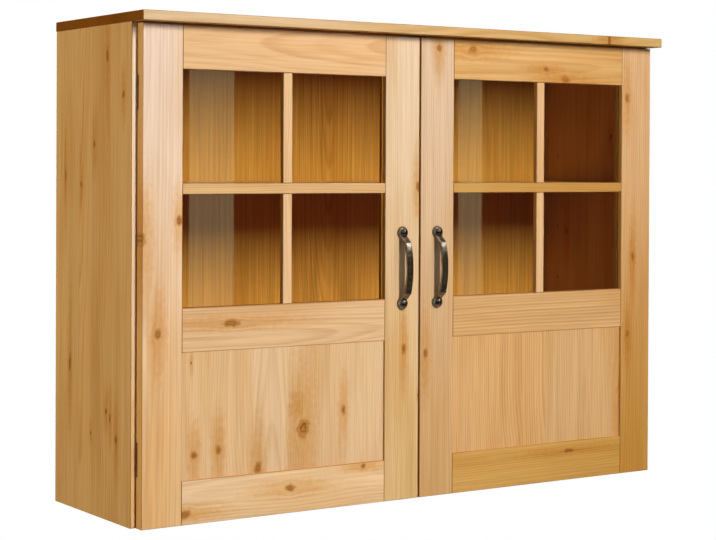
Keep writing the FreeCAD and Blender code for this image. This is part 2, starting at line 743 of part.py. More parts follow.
def handle_outline(sketch):
    """Side view of the bow: y is the distance in front of the door with its sign turned, z is up."""
    neck = "handle_spacing / 2"
    strap = f"{neck} - handle_neck_run"
    inner_shoulder = "handle_shoulder - handle_strap_thickness"
    inner_strap = f"{strap} - handle_strap_thickness"
    inner_neck = f"{neck} - handle_neck_thickness"
    upper = [("0", neck), ("handle_shoulder", strap), (inner_shoulder, inner_strap), ("0", inner_neck)]
    corners = upper[:2]
    corners += [(u, f"-({z})") for u, z in (upper[1], upper[0], upper[3], upper[2])]
    corners += [upper[2], upper[3]]
    crowns = {1: "handle_projection", 5: "handle_projection - handle_strap_thickness"}
    spots = [FreeCAD.Vector(-value(u), value(z), 0) for u, z in corners]
    for number, start in enumerate(spots):
        end = spots[(number + 1) % len(spots)]
        if number in crowns:
            crown = FreeCAD.Vector(-value(crowns[number]), 0, 0)
            sketch.addGeometry(Part.Arc(start, crown, end))
        else:
            sketch.addGeometry(Part.LineSegment(start, end))
    ends = [segment_ends(sketch, number, spot) for number, spot in enumerate(spots)]
    for number, (u, z) in enumerate(corners):
        before = (number - 1) % len(spots)
        start = ends[number][0]
        sketch.addConstraint(Sketcher.Constraint("Coincident", before, ends[before][1], number, start))
        tie(sketch, "DistanceX", number, start, f"-({u})")
        tie(sketch, "DistanceY", number, start, z)
    for number, crown in crowns.items():
        u, z = corners[number]
        rise = f"({crown} - ({u}))"
        index = sketch.addConstraint(Sketcher.Constraint("Radius", number, sketch.Geometry[number].Radius))
        bind(sketch, {f"Constraints[{index}]": f"(({z}) * ({z}) + {rise} * {rise}) / (2 * {rise})"})


def segment_ends(sketch, number, start):
    """Point numbers of a segment's start and end, in the order that the outline is drawn."""
    return (1, 2) if sketch.getPoint(number, 1).distanceToPoint(start) < SAME_POINT else (2, 1)


def tie(sketch, kind, number, end, text):
    index = sketch.addConstraint(Sketcher.Constraint(kind, -1, 1, number, end, value(text)))
    bind(sketch, {f"Constraints[{index}]": text})


def value(text):
    """A formula's value from the sheet's present sizes."""
    return float(FreeCAD.Units.Quantity(NAME.sub(lambda match: str(sheet.get(match.group(0))), text)))


def make_handle(hand):
    body = new_body(f"{hand}_handle")
    place(body, (point(hand, "handle_x"), "door_front", "handle_z"))
    sketch = body.newObject("Sketcher::SketchObject", f"{hand}_bow_outline")
    plane = next(item for item in body.Origin.OriginFeatures if item.Role == "YZ_Plane")
    sketch.AttachmentSupport = (plane, [""])
    sketch.MapMode = "FlatFace"
    bind(sketch, {"AttachmentOffset.Base.z": "-handle_width / 2"})
    handle_outline(sketch)
    bow = body.newObject("PartDesign::Pad", f"{hand}_bow")
    bow.Profile = sketch
    bind(bow, {"Length": "handle_width"})
    bends = ease(body, bow, "handle_bend_radius", is_bend)
    ease(body, bends, "handle_strap_thickness / 3", is_rim)
    for number, sign in enumerate("-+"):
        foot = body.newObject("PartDesign::AdditiveSphere", f"{hand}_foot_{number}")
        bind(foot, {"Radius": "handle_foot_sphere"})
        place(foot, (0, "handle_foot_sphere - handle_foot_height", f"0 {sign} handle_spacing / 2"))
    tall = "handle_spacing + 4 * handle_foot_radius"
    box(body, "Subtractive", f"{hand}_foot_flat", ("-2 * handle_foot_radius", 0, f"-({tall}) / 2"),
        ("4 * handle_foot_radius", "2 * handle_foot_sphere", tall))
    for number, sign in enumerate("-+"):
        drill(body, f"{hand}_handle_thread_{number}", (0, 0, f"0 {sign} handle_spacing / 2"), "-y",
              "handle_screw_radius", "handle_screw_bite")


def make_handle_screws(hand):
    """Screws through the meeting stile from its back into the handle's feet."""
    screws = []
    for number, height in enumerate(handle_screw_heights()):
        name = f"{hand}_handle_screw_{number}"
        at = (point(hand, "handle_x"), "door_back", height)
        shank = peg(name + "Shank", at, "-y", "handle_screw_radius", "door_thickness + handle_screw_bite")
        head = peg(name + "Head", at, "+y", "handle_screw_head_radius", "handle_screw_head_height")
        screws.append(joined(name, shank, head))
    group(f"{hand}_handle_screws", screws)


def is_bend(bounds, edge):
    """The cross edges of the bow away from the door."""
    return runs_across(edge) and edge.Vertexes[0].Y < -SAME_POINT


def is_rim(bounds, edge):
    """The edges round both flat sides of the bow, except where it stands on the door."""
    on_side = all(abs(abs(vertex.X) - bounds.XMax) < SAME_POINT for vertex in edge.Vertexes)
    standing = all(vertex.Y > -SAME_POINT for vertex in edge.Vertexes)
    return on_side and not runs_across(edge) and not standing


def runs_across(edge):
    return abs(edge.Vertexes[0].X - edge.Vertexes[-1].X) > SAME_POINT


def make_strike(hand):
    body = new_body(f"{hand}_strike_plate")
    box(body, "Additive", f"{hand}_strike_stock",
        (span(hand, "door_in + strike_inset", "strike_width"), "door_back", "strike_base"),
        ("strike_width", "strike_thickness", "strike_height"))
    countersunk_hole(body, f"{hand}_strike_hole", strike_screw_place(hand), "-y")
    group(f"{hand}_strike_screw", [wood_screw(f"{hand}_strike_fixing", strike_screw_place(hand), "-y")])


def sub_parts():
    """The finished pieces: every body, and every group of small pieces."""
    return [item for item in doc.Objects if item.TypeId in ("PartDesign::Body", "Part::Compound")]


def check_and_write():
    doc.recompute()
    failed = [item.Label for item in doc.Objects if {"Invalid", "Error"} & set(item.State)]
    failed += [item.Label for item in sub_parts() if item.Shape.isNull() or not item.Shape.isValid()]
    if failed:
        raise RuntimeError("pieces that failed: " + ", ".join(failed))
    os.makedirs("parts", exist_ok=True)
    for item in sub_parts():
        item.Shape.exportStep(f"parts/{item.Label}.step")
    print(len(sub_parts()), "sub-parts written")


fill_sheet()
make_top()
make_bottom()
make_back()
make_hanging_rail()
make_shelves()
make_carcass_pegs()
make_catch()
make_bumpers()
make_hinges()
for side in HANDS:
    make_side(side)
    make_door_frame(side)
    make_door_fields(side)
    make_handle(side)
    make_handle_screws(side)
    make_strike(side)
check_and_write()
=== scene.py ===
"""Pine wall cabinet with half-glazed doors: its finishes, a plain studio and the camera."""
import json
import math

import bpy
from mathutils import Matrix, Vector


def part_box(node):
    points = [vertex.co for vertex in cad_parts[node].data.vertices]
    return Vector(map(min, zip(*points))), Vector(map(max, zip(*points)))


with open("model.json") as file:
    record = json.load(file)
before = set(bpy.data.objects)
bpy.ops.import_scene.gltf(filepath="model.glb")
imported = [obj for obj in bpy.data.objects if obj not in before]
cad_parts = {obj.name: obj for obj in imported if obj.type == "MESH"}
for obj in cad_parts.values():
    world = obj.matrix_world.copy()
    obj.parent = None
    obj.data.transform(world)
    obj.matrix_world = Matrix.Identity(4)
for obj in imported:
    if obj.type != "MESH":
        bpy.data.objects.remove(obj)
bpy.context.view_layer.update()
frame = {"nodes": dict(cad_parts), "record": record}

MM = 0.001
AXES = {"X": 0, "Y": 1, "Z": 2}
WHITE = (1, 1, 1, 1)


class Graph:
    """Adds nodes to one material or world; a value or another node's output feeds an input."""

    # Places of a colour mix's factor, two colours and result among its sockets
    COLOUR_MIX_INPUTS = (0, 6, 7)
    COLOUR_MIX_OUTPUT = 2

    def __init__(self, owner):
        owner.use_nodes = True
        self.tree = owner.node_tree
        self.tree.nodes.clear()

    def feed(self, socket, value):
        if isinstance(value, bpy.types.NodeSocket):
            self.tree.links.new(value, socket)
        else:
            socket.default_value = value

    def add(self, kind, inputs=None, **settings):
        node = self.tree.nodes.new("ShaderNode" + kind)
        for name, value in settings.items():
            setattr(node, name, value)
        for name, value in (inputs or {}).items():
            self.feed(node.inputs[name], value)
        return node

    def math(self, operation, *values):
        node = self.add("Math", operation=operation)
        for socket, value in zip(node.inputs, values):
            self.feed(socket, value)
        return node.outputs[0]

    def times(self, first, second):
        return self.math("MULTIPLY", first, second)

    def minus(self, first, second):
        return self.math("SUBTRACT", first, second)

    def larger(self, first, second):
        return self.math("MAXIMUM", first, second)

    def plus(self, base, value, share):
        """The base and a share of the value."""
        return self.math("MULTIPLY_ADD", value, share, base)

    def vary(self, base, value, amount):
        """The base, moved down and up by half the amount while value goes from 0 to 1."""
        return self.plus(base, self.minus(value, 0.5), amount)

    def length(self, first, second):
        """The long side of a right triangle with these two short sides."""
        squares = self.math("ADD", self.times(first, first), self.times(second, second))
        return self.math("SQRT", squares)

    def step(self, value, low, high, at_low=0.0, at_high=1.0):
        """A smooth passage from at_low to at_high while value goes from low to high."""
        inputs = {"Value": value, "From Min": low, "From Max": high, "To Min": at_low, "To Max": at_high}
        return self.add("MapRange", inputs, interpolation_type="SMOOTHSTEP").outputs[0]

    def mix(self, factor, first, second, blend="MIX"):
        node = self.add("Mix", data_type="RGBA", blend_type=blend)
        for index, value in zip(self.COLOUR_MIX_INPUTS, (factor, first, second)):
            self.feed(node.inputs[index], value)
        return node.outputs[self.COLOUR_MIX_OUTPUT]

    def part(self, vector, axis):
        return self.add("SeparateXYZ", {"Vector": vector}).outputs[axis]

    def vector(self, x, y, z=0.0):
        return self.add("CombineXYZ", {"X": x, "Y": y, "Z": z}).outputs[0]

    def scaled(self, vector, scale, shift=(0, 0, 0)):
        return self.add("Mapping", {"Vector": vector, "Scale": scale, "Location": shift}).outputs[0]

    def noise(self, vector, scale=1.0, detail=2.0, roughness=0.5):
        inputs = {"Vector": vector, "Scale": scale, "Detail": detail, "Roughness": roughness}
        return self.add("TexNoise", inputs).outputs[0]

    def chance(self, number, output):
        """Values between 0 and 1 that belong to a whole number."""
        return self.add("TexWhiteNoise", {"W": number}, noise_dimensions="1D").outputs[output]

    def bump(self, height, strength, distance):
        inputs = {"Height": height, "Strength": strength, "Distance": distance}
        return self.add("Bump", inputs).outputs[0]

    def surface(self, shader):
        self.tree.links.new(shader.outputs[0], self.add("OutputMaterial").inputs["Surface"])


def start(name):
    """A new material and its empty node graph."""
    material = bpy.data.materials.new(name)
    return material, Graph(material)


# Colours of pine, linear
EARLYWOOD = (0.63, 0.345, 0.125, 1)
LATEWOOD = (0.46, 0.205, 0.05, 1)
KNOT_RIM = (0.14, 0.037, 0.003, 1)
KNOT_HEART = (0.43, 0.17, 0.026, 1)
# Painted shade for the grooves where boards meet, laid on every eased edge
EASED_EDGE_SHADE = (0.17, 0.055, 0.003, 1)
# Tints that multiply the colours
HEARTWOOD = (0.92, 0.84, 0.70, 1)
KNOT_STAIN = (0.84, 0.64, 0.33, 1)
END_GRAIN = (0.34, 0.20, 0.05, 1)
EDGES = (0.95, 0.88, 0.66, 1)

# Knots: scale of the outline's noise per metre, and distances in radii of the knot
KNOT_NOISE = 110
KNOT_WAVER = 1.3
KNOT_FADE = (0.5, 1.45)
KNOT_COVER = 0.92
GRAIN_BEND = 0.85
GRAIN_BEND_REACH = (0.3, 3.2)
KNOT_RINGS = 2
KNOT_RING_RISE = (0.25, 0.9)
KNOT_RING_DARKNESS = 0.8
# A knot this large, in mm, is dark in its rings alone; a smaller one is darker all over
LARGE_KNOT = 8
# The stain above and below a knot, drawn out along the grain
HALO_STRETCH = 3.5
HALO_WAVER = 2.4
HALO_REACH = (0.5, 3.6)
HALO_FIBRES = (0.3, 0.7)
HALO_LEAST = 0.4
# A dark stain of its own
STAIN_WAVER = 1.6
STAIN_FADE = (0.1, 1.3)
STAIN_DARKNESS = 0.5
STAIN_REACH = (0.6, 1.8)


def oval(graph, along, across, mark, noise, waver, draw=1.0):
    """Distance from the middle of a knot or stain, in radii of its oval, with a wavering outline."""
    place_along, place_across, radius, stretch = mark
    run = graph.math("DIVIDE", graph.minus(along, place_along * MM), stretch * draw)
    off = graph.minus(across, place_across * MM)
    share = graph.math("DIVIDE", graph.length(off, run), radius * MM)
    return graph.vary(share, noise, waver)


def knot_fields(graph, along, across, knots, stains):
    """The way across the grain, bent round knots, and how much knot, stain and dark ring a point has."""
    bent = across
    inside = halo = rings = 0.0
    noise = graph.noise(graph.vector(along, across), scale=KNOT_NOISE)
    for knot in knots:
        place_across, radius = knot[1:3]
        share = oval(graph, along, across, knot, noise, KNOT_WAVER)
        pull = graph.step(share, *GRAIN_BEND_REACH, GRAIN_BEND, 0.0)
        bent = graph.minus(bent, graph.times(pull, graph.minus(across, place_across * MM)))
        core = graph.step(share, *KNOT_FADE, 1.0, 0.0)
        year = graph.math("FRACT", graph.times(share, KNOT_RINGS))
        darkest = min(KNOT_RING_DARKNESS, max(0.0, 1 - radius / LARGE_KNOT))
        ring = graph.larger(graph.step(year, *KNOT_RING_RISE, 0.0, KNOT_RING_DARKNESS), darkest)
        feather = oval(graph, along, across, knot, noise, HALO_WAVER, HALO_STRETCH)
        inside = graph.larger(inside, core)
        halo = graph.larger(halo, graph.step(feather, *HALO_REACH, 1.0, 0.0))
        rings = graph.larger(rings, graph.times(ring, core))
    for stain in stains:
        share = oval(graph, along, across, stain, noise, STAIN_WAVER)
        inside = graph.larger(inside, graph.step(share, *STAIN_FADE, STAIN_DARKNESS, 0.0))
        halo = graph.larger(halo, graph.step(share, *STAIN_REACH, 1.0, 0.0))
    return bent, inside, halo, rings


# Growth rings about a pith under each stave, in metres
RING_SPACING = 3.4 * MM
WIDE_RINGS = 4.4 * MM
PITH_SPREAD = 0.15
PITH_DEPTH = (0.012, 0.07)
PITH_TILT = 0.1
RING_SWAY = 0.022
RING_HEAVE = 0.015
# The dark part of a ring, by the share of its width, and the palest ring's part of the full darkness
LATEWOOD_RISE = (0.25, 0.85)
LATEWOOD_FALL = (0.86, 1.0)
PALEST_RING = 0.3


def stave_chances(graph, across, seams, seed):
    """Three values between 0 and 1 that hold all over one glued stave."""
    stave = float(seed)
    for seam in seams:
        stave = graph.math("ADD", stave, graph.math("GREATER_THAN", across, seam * MM))
    chances = graph.chance(stave, "Color")
    return [graph.part(chances, axis) for axis in AXES]


def latewood(graph, along, across, deep, drift, chances, middle, face, spacing):
    """How dark the growth rings are at a point of a board with this middle and outer face."""
    side_chance, depth_chance, tilt_chance = chances
    shallow, deepest = PITH_DEPTH
    pith_across = graph.vary(middle, side_chance, PITH_SPREAD)
    pith_deep = graph.plus(shallow + face, depth_chance, deepest - shallow)
    pith_deep = graph.plus(pith_deep, along, graph.vary(0.0, tilt_chance, PITH_TILT))
    sideways = graph.vary(graph.minus(across, pith_across), drift, RING_SWAY)
    downwards = graph.vary(graph.minus(deep, pith_deep), drift, RING_HEAVE)
    count = graph.math("DIVIDE", graph.length(sideways, downwards), spacing)
    phase = graph.math("FRACT", count)
    late = graph.times(graph.step(phase, *LATEWOOD_RISE), graph.step(phase, *LATEWOOD_FALL, 1.0, 0.0))
    vigour = graph.chance(graph.math("FLOOR", count), "Value")
    return graph.times(late, graph.plus(PALEST_RING, vigour, 1 - PALEST_RING))


# Scales per metre along the grain, across it and into the board
DRIFT = (2.6, 5, 5)
FIBRE = (14, 900, 900)
STREAK = (4, 240, 240)
BLOTCH = (3, 22, 22)
# How far fibres and staves vary in lightness, and staves in green and blue
FIBRE_LIGHT = 0.34
STAVE_LIGHT = 0.09
STAVE_GREEN = 0.05
STAVE_BLUE = 0.14
HEARTWOOD_BLOTCH = (0.42, 0.72)
# Parts of the surface direction at which a face counts as the front, as end grain and as an eased edge
FRONT_TURN = (-0.9, -0.5)
END_TURN = (0.6, 0.9)
EDGE_TURN = (0.80, 0.98)
EDGE_SHADE_DARKNESS = 0.85
# Gloss and relief of lacquered pine
SATIN = 0.38
BLOTCH_DULLNESS = 0.16
LATEWOOD_DULLNESS = -0.08
LATEWOOD_HEIGHT = 0.5
LACQUER_SHINE = 0.5


def grain_light(graph, fibre, streak, streaks, chances):
    """A factor for each colour, from the fibres, the streaks and the stave."""
    side_chance, _, tilt_chance = chances
    light = graph.vary(1.0, fibre, FIBRE_LIGHT)
    light = graph.vary(light, streak, streaks)
    light = graph.vary(light, side_chance, STAVE_LIGHT)
    green = graph.vary(light, tilt_chance, STAVE_GREEN)
    blue = graph.vary(light, tilt_chance, STAVE_BLUE)
    return graph.vector(light, green, blue)


def pine(name, grain, across, seed, tones_and_painted_light, seams=(), knots=(), stains=(), contrast=0.5, streaks=0.3,
         spacing=RING_SPACING, lacquer=0.2, gloss=0.45, edges=EDGES):
    """Clear-lacquered pine with growth rings, fibres, knots, end grain, front tints that hold painted
    light, and painted shade along eased edges.
    """
    material, graph = start(name)
    coordinates = graph.add("TexCoord").outputs
    low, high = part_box(name)
    depth = next(axis for axis in AXES if axis not in (grain, across))
    along, over, deep = (graph.part(coordinates["Object"], axis) for axis in (grain, across, depth))
    bent, inside, halo, rings = knot_fields(graph, along, over, knots, stains)
    board = graph.vector(along, bent, deep)
    drift = graph.noise(graph.scaled(board, DRIFT, (seed, 0, 0)), detail=1.0)
    fibre = graph.noise(graph.scaled(board, FIBRE, (seed, 0, 0)))
    streak = graph.noise(graph.scaled(board, STREAK, (0, 0, seed)))
    blotch = graph.noise(graph.scaled(board, BLOTCH, (0, seed, 0)), detail=3.0)
    chances = stave_chances(graph, over, seams, seed)
    middle = (low[AXES[across]] + high[AXES[across]]) / 2
    late = latewood(graph, along, bent, deep, drift, chances, middle, low[AXES[depth]], spacing)

    colour = graph.mix(graph.times(late, contrast), EARLYWOOD, LATEWOOD)
    colour = graph.mix(graph.step(blotch, *HEARTWOOD_BLOTCH), colour, HEARTWOOD, "MULTIPLY")
    colour = graph.mix(1.0, colour, grain_light(graph, fibre, streak, streaks, chances), "MULTIPLY")
    direction = graph.add("SeparateXYZ", {"Vector": coordinates["Normal"]}).outputs
    # Only the front faces take the board's tints, with the painted sheen and shade in them; all other
    # faces take the plain edge tint
    front = graph.step(direction["Y"], *FRONT_TURN, 1.0, 0.0)
    reach = graph.step(along, low[AXES[grain]], high[AXES[grain]])
    tint = graph.mix(front, edges, graph.mix(reach, *tones_and_painted_light))
    colour = graph.mix(1.0, colour, tint, "MULTIPLY")
    if knots:
        stain = graph.times(halo, graph.step(fibre, *HALO_FIBRES, HALO_LEAST, 1.0))
        colour = graph.mix(stain, colour, KNOT_STAIN, "MULTIPLY")
        heart = graph.mix(rings, KNOT_HEART, KNOT_RIM)
        colour = graph.mix(graph.times(inside, KNOT_COVER), colour, heart)

    facing = [graph.math("ABSOLUTE", part) for part in direction]
    end = graph.step(facing[AXES[grain]], *END_TURN)
    colour = graph.mix(end, colour, END_GRAIN, "MULTIPLY")
    flattest = graph.larger(graph.larger(facing[0], facing[1]), facing[2])
    # Every eased edge is darkened: painted shade of the grooves between boards, on outer edges too
    edge_shade = graph.step(flattest, *EDGE_TURN, EDGE_SHADE_DARKNESS, 0.0)
    colour = graph.mix(edge_shade, colour, EASED_EDGE_SHADE)

    coat = graph.step(flattest, *EDGE_TURN, 0.0, lacquer) if lacquer else 0.0
    roughness = graph.plus(graph.plus(SATIN, blotch, BLOTCH_DULLNESS), late, LATEWOOD_DULLNESS)
    relief = graph.bump(graph.plus(fibre, late, LATEWOOD_HEIGHT), strength=0.22, distance=0.25 * MM)
    inputs = {"Base Color": colour, "Roughness": roughness, "Normal": relief,
              "Specular IOR Level": LACQUER_SHINE * lacquer, "Coat Weight": coat, "Coat Roughness": gloss}
    graph.surface(graph.add("BsdfPrincipled", inputs))
    return material


METAL_FILM = (0.35, 0.7)


def metal(name, colour, dull, roughness, brushing, wear):
    """Metal with a patchy dull film, fine rubbing marks and uneven polish."""
    material, graph = start(name)
    place = graph.add("TexCoord").outputs["Object"]
    patch = graph.noise(place, scale=160, detail=4.0, roughness=0.6)
    marks = graph.noise(graph.scaled(place, brushing), detail=3.0)
    tint = graph.mix(graph.step(patch, *METAL_FILM), dull, colour)
    polish = graph.plus(graph.plus(roughness, patch, wear), marks, wear)
    inputs = {"Base Color": tint, "Metallic": 1.0, "Roughness": polish,
              "Normal": graph.bump(marks, strength=0.12, distance=0.05 * MM)}
    graph.surface(graph.add("BsdfPrincipled", inputs))
    return material


MOULDED_CLOUD = (0.3, 0.75)
MOULDED_DULLNESS = 0.15


def moulded(name, colour, shadow, roughness, scale):
    """Moulded plastic or rubber with a fine surface grain."""
    material, graph = start(name)
    place = graph.add("TexCoord").outputs["Object"]
    grain = graph.noise(place, scale=scale, detail=3.0)
    cloud = graph.noise(place, scale=90)
    tint = graph.mix(graph.step(cloud, *MOULDED_CLOUD), shadow, colour)
    inputs = {"Base Color": tint, "Roughness": graph.plus(roughness, grain, MOULDED_DULLNESS),
              "Normal": graph.bump(grain, strength=0.2, distance=0.1 * MM)}
    graph.surface(graph.add("BsdfPrincipled", inputs))
    return material


BEECH_DARK = (0.62, 0.38, 0.19, 1)
BEECH_LIGHT = (0.74, 0.50, 0.28, 1)
BEECH_FLECK = (0.36, 0.17, 0.07, 1)
FLECK_RISE = (0.62, 0.72)
FLECK_COVER = 0.5
BEECH_ROUGHNESS = 0.55
BEECH_DULLNESS = 0.2


def beech(name):
    """Bare beech with its short dark flecks, for dowels."""
    material, graph = start(name)
    place = graph.add("TexCoord").outputs["Object"]
    fleck = graph.noise(place, scale=1400, detail=1.0)
    cloud = graph.noise(place, scale=120, detail=3.0)
    colour = graph.mix(cloud, BEECH_DARK, BEECH_LIGHT)
    colour = graph.mix(graph.step(fleck, *FLECK_RISE, 0.0, FLECK_COVER), colour, BEECH_FLECK)
    inputs = {"Base Color": colour, "Roughness": graph.plus(BEECH_ROUGHNESS, cloud, BEECH_DULLNESS),
              "Normal": graph.bump(fleck, strength=0.2, distance=0.1 * MM)}
    graph.surface(graph.add("BsdfPrincipled", inputs))
    return material


GLASS_TINT = (0.955, 0.97, 0.96, 1)
# Share of the light that glass mirrors: head on, what a flat angle adds, and how late that comes
MIRROR_HEAD_ON = 0.042
MIRROR_FLAT = 0.95
MIRROR_POWER = 5.0
SMEAR_RISE = (0.45, 0.8)
SMEAR_ROUGHNESS = 0.05


def window_glass(name):
    """Clear float glass: it lets light straight through and mirrors more at a flat angle."""
    material, graph = start(name)
    place = graph.add("TexCoord").outputs["Object"]
    facing = graph.add("LayerWeight", {"Blend": 0.5}).outputs["Facing"]
    mirror = graph.plus(MIRROR_HEAD_ON, graph.math("POWER", facing, MIRROR_POWER), MIRROR_FLAT)
    smear = graph.step(graph.noise(place, scale=14, detail=3.0), *SMEAR_RISE, 0.0, SMEAR_ROUGHNESS)
    clear = graph.add("BsdfTransparent", {"Color": GLASS_TINT})
    gloss = graph.add("BsdfGlossy", {"Color": WHITE, "Roughness": smear})
    graph.surface(graph.add("MixShader", {0: mirror, 1: clear.outputs[0], 2: gloss.outputs[0]}))
    return material


# Glue lines between staves, in mm across the grain
TOP_SEAMS = (-250, -200, -150, -95, -45)
SIDE_SEAMS = (-223, -173, -131, -85, -38)
SHELF_SEAMS = (-205, -155, -103, -52)
BACK_SEAMS = (-400, -300, -195, -90, 12, 118, 215, 322, 415)
LEFT_PANEL_SEAMS = (-372, -303, -240, -145)
RIGHT_PANEL_SEAMS = (115, 213, 262, 350)

# Tints of faces other than the front; the beads have theirs all over, dark as painted shade in the window
# reveals
SHADED_BEADS = (0.50, 0.40, 0.20, 1)
SIDE_FACE = (0.95, 0.95, 0.84, 1)


def even(tint):
    """The same tint at both ends of a board."""
    return tint, tint


# Tints of a board's front at the low and the high end of its grain: the board's own tone and painted
# light:
# paler and bluer towards the top and the left as a painted sheen, darker towards the bottom and the right
# as painted shade
CASE = even((1.0, 0.98, 0.82, 1))
CASE_TOP = ((0.92, 1.13, 1.68, 1), (0.81, 0.92, 0.94, 1))
SIDE_FRONT = ((1.10, 1.22, 1.44, 1), (1.20, 1.75, 3.6, 1))
# Inside the case the boards are darker and more saturated, and darker still towards the top: painted shade
INNER_SHADED = ((0.90, 0.80, 0.36, 1), (0.82, 0.73, 0.33, 1))
LEFT_STILE = ((1.14, 1.28, 1.64, 1), (1.15, 1.57, 3.3, 1))
LEFT_MEETING = ((1.03, 1.19, 1.42, 1), (1.07, 1.40, 2.45, 1))
RIGHT_MEETING = ((0.85, 0.92, 1.08, 1), (0.91, 1.17, 2.15, 1))
RIGHT_STILE = ((0.78, 0.71, 0.41, 1), (0.98, 1.11, 1.60, 1))
PALE = ((1.15, 1.44, 2.3, 1), (1.15, 1.42, 2.2, 1))
PALE_PANEL = ((1.04, 1.24, 1.84, 1), (1.04, 1.26, 1.88, 1))
LIGHT = ((1.03, 1.19, 1.72, 1), (1.02, 1.18, 1.72, 1))
MILD = even((0.93, 1.0, 1.18, 1))
RIGHT_PANEL = even((0.96, 1.04, 1.26, 1))
WARM = ((0.95, 1.04, 1.15, 1), (0.90, 0.94, 0.95, 1))
DEEP = ((0.90, 0.92, 0.72, 1), (0.84, 0.84, 0.58, 1))
CROSS = ((0.82, 0.78, 0.50, 1), (0.78, 0.70, 0.42, 1))

# Lie of the grain, and how much lacquer a board has
CASE_BOARD = dict(grain="X", across="Y", lacquer=0.1)
SIDE_BOARD = dict(grain="Z", across="Y", lacquer=0.1, seams=SIDE_SEAMS, edges=SIDE_FACE)
UPRIGHT = dict(grain="Z", across="X")
RAIL = dict(grain="X", across="Z")
BARE = dict(lacquer=0.0)
GLOSSY = dict(lacquer=1.0, gloss=0.05)

# Each knot or stain: place along and across the grain and radius in mm, and its stretch along the grain
BOARDS = {
    "top_panel": dict(CASE_BOARD, seams=TOP_SEAMS, tones_and_painted_light=CASE_TOP,
                      knots=((380, -299, 3, 1.2), (-210, -120, 7, 1.3), (120, -60, 5, 1.2))),
    "left_side": dict(SIDE_BOARD, tones_and_painted_light=SIDE_FRONT,
                      knots=((-20, -182, 4, 3), (-79, -236, 4, 1.4), (-151, -138, 4, 1.5),
                             (-200, -35, 2.5, 4), (-212, -92, 3, 1.5), (-487, -53, 4, 3.5),
                             (-549, -181, 3.5, 1.3), (-558, -194, 3, 2), (-587, -214, 4, 2),
                             (-587, -128, 2, 1.3))),
    "right_side": dict(SIDE_BOARD, tones_and_painted_light=LIGHT,
                       knots=((-129, -190, 4, 1.3), (-300, -70, 5, 1.4), (-520, -150, 6, 1.3),
                              (-610, -60, 3, 2))),
    "bottom_panel": dict(CASE_BOARD, seams=SHELF_SEAMS, tones_and_painted_light=CASE,
                         knots=((-280, -130, 6, 1.3), (150, -70, 5, 1.4), (330, -190, 7, 1.2))),
    "back_panel": dict(UPRIGHT, **BARE, seams=BACK_SEAMS, tones_and_painted_light=INNER_SHADED, contrast=0.75, streaks=0.8),
    "hanging_rail": dict(RAIL, **BARE, tones_and_painted_light=INNER_SHADED, knots=((-140, 6, 6, 1.3), (255, -9, 5, 1.4))),
    "upper_shelf": dict(CASE_BOARD, seams=SHELF_SEAMS, tones_and_painted_light=CASE, knots=((-190, -80, 5, 1.4),)),
    "lower_shelf": dict(CASE_BOARD, seams=SHELF_SEAMS, tones_and_painted_light=CASE, knots=((210, -150, 6, 1.3),)),
    "left_hinge_stile": dict(UPRIGHT, tones_and_painted_light=LEFT_STILE, contrast=0.35,
                             knots=((-263, -431, 5, 1.3), (-427, -465, 6, 1.3), (-289, -493, 8, 1.5))),
    "left_meeting_stile": dict(UPRIGHT, tones_and_painted_light=LEFT_MEETING,
                               knots=((-214, -4, 4, 1.8), (-471, -30, 3.5, 2.6), (-547, -2, 1.5, 1))),
    "left_top_rail": dict(RAIL, tones_and_painted_light=LIGHT),
    "left_middle_rail": dict(RAIL, tones_and_painted_light=LIGHT, knots=((-342, -417, 5, 3.2),)),
    "left_bottom_rail": dict(RAIL, tones_and_painted_light=PALE,
                             knots=((-239, -672, 6, 1.5), (-106, -651, 4, 1.2), (-419, -694, 6, 1.4))),
    "left_lower_panel": dict(UPRIGHT, seams=LEFT_PANEL_SEAMS, tones_and_painted_light=PALE_PANEL, contrast=0.35,
                             stains=((-547, -224, 13, 2),),
                             knots=((-584, -214, 11, 1.3), (-561, -141, 4, 2.2), (-609, -403, 5, 1.2),
                                    (-605, -362, 5, 1.3), (-637, -294, 6, 1.6), (-473, -408, 1.5, 1.5))),
    "right_hinge_stile": dict(UPRIGHT, tones_and_painted_light=RIGHT_STILE,
                              knots=((-63, 438, 5, 1.7), (-337, 452, 4, 2.4), (-470, 441, 4, 1.6))),
    "right_meeting_stile": dict(UPRIGHT, tones_and_painted_light=RIGHT_MEETING, knots=((-482, 12, 4, 2.4), (7, 37, 5, 1.2))),
    "right_top_rail": dict(RAIL, tones_and_painted_light=WARM,
                           knots=((105, 7, 7, 1.4), (257, -20, 4, 1.4), (300, -36, 6, 1.6))),
    "right_middle_rail": dict(RAIL, tones_and_painted_light=MILD, contrast=0.8, spacing=WIDE_RINGS),
    "right_bottom_rail": dict(RAIL, tones_and_painted_light=DEEP, knots=((311, -661, 3, 4.5),)),
    "right_lower_panel": dict(UPRIGHT, seams=RIGHT_PANEL_SEAMS, tones_and_painted_light=RIGHT_PANEL, contrast=0.8,
                              knots=((-560, 434, 9, 2.6),)),
    "right_cross_bar": dict(RAIL, **GLOSSY, tones_and_painted_light=CROSS),
    "left_cross_bar": dict(RAIL, **GLOSSY, tones_and_painted_light=MILD),
}
for hand in ("left", "right"):
    BOARDS[f"{hand}_upper_bar"] = dict(UPRIGHT, tones_and_painted_light=LIGHT)
    BOARDS[f"{hand}_lower_bar"] = dict(UPRIGHT, tones_and_painted_light=LIGHT)
    BOARDS[f"{hand}_glazing_beads"] = dict(UPRIGHT, **BARE, tones_and_painted_light=even(SHADED_BEADS), edges=SHADED_BEADS)
# Numbers that make each board's grain its own
SEED_STEP = 7
FIRST_SEED = 3

